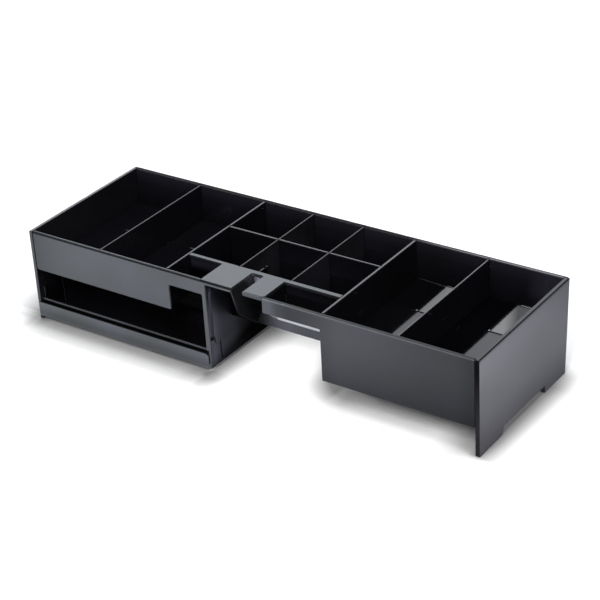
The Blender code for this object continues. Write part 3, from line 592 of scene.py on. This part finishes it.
# Two grey pips, painted glints.
stud("pip_coin", (151.3, 140.7, 83.2), 1.2, PAINTED_GLINT)
stud("pip_divider", (378.6, 145.2, 81.1), 1.2, PAINTED_GLINT)


# The stage floor's reach and drop are in metres, and so is the reach of the contact shadow.
FLOOR_REACH = 20.0
FLOOR_DROP = 0.0002
FLOOR_COLOUR = (0.86, 0.86, 0.865)
FLOOR_GLOW = 0.04
HAZE_START = 800.0
HAZE_END = 2200.0
HAZE_GLOW = 0.95
MIRROR_TINT = (0.93, 0.965, 1.03)
# Painted light on the sheet as mirrors see it, in pools by place.
POOL_FRONT_LEFT = 0.98
POOL_FRONT_RIGHT = 0.50
POOL_RIGHT = 1.12
POOL_RIGHT_REAR = 0.45
POOL_CLOSE = 0.45
POOL_REACH = 95.0
POOL_UNDER = 1.5
POOL_UNDER_START = 207.0
POOL_UNDER_EDGE = 0.1
CONTACT_REACH = 0.041
CONTACT_REACH_LEFT = 0.054
CONTACT_DEPTH = 2.8
CONTACT_DEPTH_LEFT = 2.5
CONTACT_DEPTH_REAR = 1.6
CONTACT_DEPTH_REAR_END = 0.5
CONTACT_DEPTH_FOOT = 1.3
CONTACT_DARKEST = 0.17
OVAL_X = 310.0
OVAL_Y = 60.0
OVAL_STRETCH = 1.22


def contact_shadow(s, x, y):
    """The tray's soft shadow where it stands, deeper under the two blocks than in the keyhole bay."""
    near = s.node("ShaderNodeAmbientOcclusion", samples=12)
    s.link(s.graph(x, (196.0, CONTACT_REACH_LEFT), (214.0, CONTACT_REACH)), near.inputs["Distance"])
    right_block = ((301.0, 0.0), (307.0, CONTACT_DEPTH), (428.0, CONTACT_DEPTH), (446.0, 0.0))
    inside = s.graph(x, (183.0, CONTACT_DEPTH_LEFT), (188.0, 0.0), *right_block)
    before = s.graph(x, (194.0, CONTACT_DEPTH_LEFT), (214.0, 0.0), *right_block)
    depth = s.pick(s.graph(y, (-4.0, 1.0), (4.0, 0.0)), inside, before)
    foot = s.times(s.graph(y, (-1.6, 0.0), (1.0, 0.6), (2.0, 1.0), (7.0, 1.0), (10.0, 0.0)),
                   s.graph(x, (176.0, 1.0), (184.0, 0.0)))
    depth = s.pick(foot, depth, CONTACT_DEPTH_FOOT)
    rear = s.graph(x, (428.0, CONTACT_DEPTH_REAR), (452.0, CONTACT_DEPTH_REAR_END))
    depth = s.pick(s.graph(y, (105.0, 0.0), (150.0, 1.0)), depth, rear)
    return s.math("MAXIMUM", s.math("POWER", near.outputs["AO"], depth), CONTACT_DARKEST)


def shadow_bands(s, x, y):
    """Narrow bands of shadow, each as the tone across it and its strength along it."""
    beside_right_end = (
        s.graph(x, (428.0, 1.0), (438.0, 0.66), (443.0, 0.34), (446.0, 0.23), (448.5, 0.20), (452.0, 0.245),
                (456.0, 0.375), (460.0, 0.51), (465.0, 0.70), (470.0, 0.82), (477.0, 1.0)),
        s.graph(y, (-14.0, 0.0), (-6.0, 0.25), (-1.0, 0.62), (1.0, 0.85), (12.0, 0.95), (25.0, 1.0),
                (120.0, 1.0), (140.0, 0.62), (160.0, 0.0)))
    keyhole_bay = (
        s.graph(x, (183.0, 1.0), (187.5, 0.9), (189.0, 0.58), (190.5, 0.31), (192.0, 0.20), (195.0, 0.25),
                (200.0, 0.36), (207.0, 0.60), (214.0, 0.82), (224.0, 1.0)),
        s.graph(y, (-32.0, 0.0), (-20.0, 0.36), (-10.0, 0.66), (-4.0, 0.8), (2.0, 1.0), (110.0, 1.0),
                (152.0, 0.0)))
    bay_corner = (
        s.graph(x, (165.0, 1.0), (175.0, 0.80), (184.0, 0.66), (188.0, 0.66), (192.0, 1.0)),
        s.graph(y, (-26.0, 0.0), (-15.0, 0.6), (-8.0, 0.95), (-2.0, 1.0), (0.0, 0.6), (2.0, 0.0)))
    post_foot = (
        s.graph(x, (184.0, 1.0), (187.0, 0.62), (190.0, 0.62), (192.5, 1.0)),
        s.graph(y, (-9.0, 0.0), (-4.0, 1.0), (1.5, 1.0), (3.0, 0.0)))
    before_left_front = (
        s.graph(x, (-14.0, 1.0), (-4.0, 0.78), (200.0, 0.78), (212.0, 1.0)),
        s.graph(y, (-32.0, 0.0), (-22.0, 0.8), (-8.0, 1.0), (-3.0, 0.2), (0.0, 0.0)))
    left_foot = (
        s.graph(x, (-14.0, 1.0), (-3.0, 0.58), (3.0, 0.58), (14.0, 1.0)),
        s.graph(y, (-20.0, 0.0), (-8.0, 0.65), (-3.0, 1.0), (6.0, 1.0), (22.0, 0.0)))
    beside_left_foot = (
        s.graph(x, (-32.0, 1.0), (-20.0, 0.82), (-13.0, 0.62), (-5.0, 0.64), (0.0, 0.80), (4.0, 1.0)),
        s.graph(y, (-8.0, 0.0), (-4.0, 0.35), (0.0, 0.75), (4.0, 1.0), (8.0, 0.85), (13.0, 0.3),
                (18.0, 0.0)))
    under_right_front = (
        s.graph(x, (302.0, 1.0), (312.0, 0.68), (340.0, 0.78), (380.0, 0.86), (400.0, 1.0)),
        s.graph(y, (6.0, 0.0), (12.0, 0.55), (17.0, 0.85), (22.0, 1.0), (34.0, 0.0)))
    # An oval about the foot of the right block's side, in the keyhole bay.
    aside = s.times(s.minus(x, OVAL_X), OVAL_STRETCH)
    forward = s.math("MAXIMUM", s.minus(OVAL_Y, y), 0.0)
    right_block_foot = (
        s.graph(s.length(aside, forward), (37.0, 0.20), (48.0, 0.49), (55.0, 0.70), (75.0, 1.0)),
        s.times(s.graph(x, (300.0, 1.0), (306.0, 0.65), (312.0, 0.38), (320.0, 0.16), (330.0, 0.0)),
                s.graph(y, (105.0, 1.0), (150.0, 0.0))))
    return (beside_right_end, keyhole_bay, bay_corner, post_foot, before_left_front, left_foot,
            beside_left_foot, under_right_front, right_block_foot)


def mirrored_tone(s, x, y):
    """Painted light and shade on the sheet as a mirror sees it: brighter at the two ends, dimmer close to
    the tray, and a brighter pool under it beside the keyhole bay.
    """
    out_x = s.math("MAXIMUM", s.minus(s.math("ABSOLUTE", s.minus(x, HALF_WIDTH)), HALF_WIDTH), 0.0)
    out_y = s.math("MAXIMUM", s.minus(s.math("ABSOLUTE", s.minus(y, HALF_DEPTH)), HALF_DEPTH), 0.0)
    out = s.length(out_x, out_y)
    under = s.times(s.below(out, POOL_UNDER_EDGE), s.above(x, POOL_UNDER_START))
    close = s.pick(under, s.spread(out, 0.0, POOL_REACH, POOL_CLOSE, 1.0), POOL_UNDER)
    front = s.spread(x, -55.0, 425.0, POOL_FRONT_LEFT, POOL_FRONT_RIGHT)
    right = s.spread(y, 124.5, 264.5, POOL_RIGHT, POOL_RIGHT_REAR)
    beside = s.times(s.spread(x, 425.0, 485.0, 0.0, 1.0), s.spread(y, -45.5, 54.5, 0.0, 1.0))
    return s.times(s.pick(beside, front, right), close)


def stage_material():
    s = Shader("stage_floor")
    path = s.node("ShaderNodeLightPath")
    camera = path.outputs["Is Camera Ray"]
    mirrored = s.math("MAXIMUM", path.outputs["Is Glossy Ray"], path.outputs["Is Transmission Ray"])
    x, y, _ = s.spot()

    shade = contact_shadow(s, x, y)
    for tone, strength in shadow_bands(s, x, y):
        thinned = s.times(s.minus(1.0, tone), strength)
        shade = s.times(shade, s.minus(1.0, thinned))
    shade = s.math("MAXIMUM", shade, s.minus(1.0, camera))

    colour = s.node("ShaderNodeMix", data_type="VECTOR")
    s.link(mirrored, colour.inputs["Factor"])
    colour.inputs["A"].default_value = (1.0, 1.0, 1.0)
    s.link(s.scaled(MIRROR_TINT, mirrored_tone(s, x, y)), colour.inputs["B"])
    paint = s.node("ShaderNodeVectorMath", operation="MULTIPLY")
    paint.inputs[0].default_value = FLOOR_COLOUR
    s.link(s.scaled(colour.outputs["Result"], shade), paint.inputs[1])
    paper = s.node("ShaderNodeBsdfDiffuse")
    s.link(paint.outputs["Vector"], paper.inputs["Color"])

    # Far from the tray the camera sees the sheet fade to white, so that no horizon shows.
    far = s.length(s.minus(x, HALF_WIDTH), s.minus(y, HALF_DEPTH))
    haze = s.times(camera, s.spread(far, HAZE_START, HAZE_END, 0.0, HAZE_GLOW))
    seen = s.math("MAXIMUM", mirrored, camera)
    glow = s.node("ShaderNodeEmission")
    s.link(s.plus(s.times(seen, FLOOR_GLOW), haze), glow.inputs["Strength"])
    both = s.node("ShaderNodeAddShader")
    s.link(paper.outputs["BSDF"], both.inputs[0])
    s.link(glow.outputs["Emission"], both.inputs[1])
    s.link(both.outputs["Shader"], s.output.inputs["Surface"])
    return s.material


def make_stage():
    mesh = bpy.data.meshes.new("stage_floor")
    r = FLOOR_REACH
    mesh.from_pydata([(-r, -r, 0), (r, -r, 0), (r, r, 0), (-r, r, 0)], [], [(0, 1, 2, 3)])
    mesh.materials.append(stage_material())
    floor = bpy.data.objects.new("stage_floor", mesh)
    bpy.context.scene.collection.objects.link(floor)
    floor.location.z = -FLOOR_DROP


WORLD_FILL = 0.2
CEILING = 0.045
HORIZON_END = 0.12
CEILING_START = 0.32


def make_world():
    """White to the camera, white at the horizon and dark overhead to a mirror, and little light."""
    world = bpy.data.worlds.new("studio")
    bpy.context.scene.world = world
    world.use_nodes = True
    tree = world.node_tree
    tree.nodes.clear()

    def blend(factor, low, high):
        made = tree.nodes.new("ShaderNodeMapRange")
        for key, value in (("To Min", low), ("To Max", high)):
            if isinstance(value, float):
                made.inputs[key].default_value = value
            else:
                tree.links.new(value, made.inputs[key])
        tree.links.new(factor, made.inputs["Value"])
        return made

    path = tree.nodes.new("ShaderNodeLightPath")
    mirrored = tree.nodes.new("ShaderNodeMath")
    mirrored.operation = "MAXIMUM"
    tree.links.new(path.outputs["Is Glossy Ray"], mirrored.inputs[0])
    tree.links.new(path.outputs["Is Transmission Ray"], mirrored.inputs[1])
    way = tree.nodes.new("ShaderNodeSeparateXYZ")
    tree.links.new(tree.nodes.new("ShaderNodeTexCoord").outputs["Generated"], way.inputs["Vector"])
    height = blend(way.outputs["Z"], 1.0, CEILING)
    height.interpolation_type = "SMOOTHSTEP"
    height.inputs["From Min"].default_value = HORIZON_END
    height.inputs["From Max"].default_value = CEILING_START
    strength = blend(mirrored.outputs["Value"], WORLD_FILL, height.outputs["Result"])
    strength = blend(path.outputs["Is Camera Ray"], strength.outputs["Result"], 1.0)
    sky = tree.nodes.new("ShaderNodeBackground")
    sky.inputs["Color"].default_value = (1.0, 1.0, 1.0, 1.0)
    tree.links.new(strength.outputs["Result"], sky.inputs["Strength"])
    output = tree.nodes.new("ShaderNodeOutputWorld")
    tree.links.new(sky.outputs["Background"], output.inputs["Surface"])


def place_light(name, light, place, aim, mirrored):
    made = bpy.data.objects.new(name, light)
    bpy.context.scene.collection.objects.link(made)
    made.location = place
    made.rotation_euler = (Vector(aim) - Vector(place)).to_track_quat("-Z", "Y").to_euler()
    made.visible_camera = False
    made.visible_glossy = mirrored


def softbox(name, place, aim, size, power, colour=(1.0, 1.0, 1.0), mirrored=False):
    """A soft rectangular lamp, with its place, aim and size in metres."""
    light = bpy.data.lights.new(name, "AREA")
    light.shape = "RECTANGLE"
    light.size, light.size_y = size
    light.energy = power
    light.color = colour
    place_light(name, light, place, aim, mirrored)


# A narrow soft lamp that lights the sheet seen through the keyhole bay.
BAY_LAMP_POWER = 200.0
BAY_LAMP_CONE = math.radians(4.6)
BAY_LAMP_BLEND = 0.35
BAY_LAMP_RADIUS = 0.04
BAY_LAMP_PLACE = at(248.0, -1400.0, 590.0)
BAY_LAMP_AIM = at(248.0, 90.0, 0.0)


def make_lights():
    softbox("overhead", (0.25, -0.15, 1.6), (0.0, 0.0, 0.0), (1.2, 0.9), 12.0)
    softbox("right", (1.3, -0.3, 0.95), (0.1, 0.0, 0.0), (0.9, 0.7), 14.0)
    softbox("left", (-1.05, 0.25, 1.35), (0.15, 0.04, 0.05), (0.5, 0.5), 4.0, (0.96, 0.98, 1.0), True)
    softbox("back_left", (-1.15, 1.55, 1.05), (0.0, 0.0, 0.05), (1.7, 1.1), 12.0, (0.93, 0.97, 1.03), True)
    softbox("front_key", (0.25, -1.3, 1.4), (0.0, 0.0, 0.03), (0.9, 0.7), 38.0)
    lamp = bpy.data.lights.new("under_tray", "SPOT")
    lamp.energy = BAY_LAMP_POWER
    lamp.spot_size = BAY_LAMP_CONE
    lamp.spot_blend = BAY_LAMP_BLEND
    lamp.shadow_soft_size = BAY_LAMP_RADIUS
    place_light("under_tray", lamp, BAY_LAMP_PLACE, BAY_LAMP_AIM, False)


def make_camera():
    az, el, roll = CAMERA_AZIMUTH, CAMERA_ELEVATION, CAMERA_ROLL
    back = Vector((math.sin(az) * math.cos(el), -math.cos(az) * math.cos(el), math.sin(el)))
    right = (-back).cross(Vector((0.0, 0.0, 1.0))).normalized()
    up = right.cross(-back)
    turned_right = right * math.cos(roll) + up * math.sin(roll)
    turned_up = up * math.cos(roll) - right * math.sin(roll)
    place = CAMERA_TARGET + back * CAMERA_DISTANCE
    camera = bpy.data.cameras.new("camera")
    camera.lens = CAMERA_LENS
    camera.sensor_width = CAMERA_SENSOR
    camera.sensor_fit = "HORIZONTAL"
    camera.clip_start = CAMERA_NEAREST
    made = bpy.data.objects.new("camera", camera)
    bpy.context.scene.collection.objects.link(made)
    made.matrix_world = Matrix((
        (turned_right.x, turned_up.x, back.x, place.x),
        (turned_right.y, turned_up.y, back.y, place.y),
        (turned_right.z, turned_up.z, back.z, place.z),
        (0.0, 0.0, 0.0, 1.0),
    ))
    bpy.context.scene.camera = made


make_stage()
make_world()
make_lights()
make_camera()

bpy.context.scene.view_settings.view_transform = "Standard"
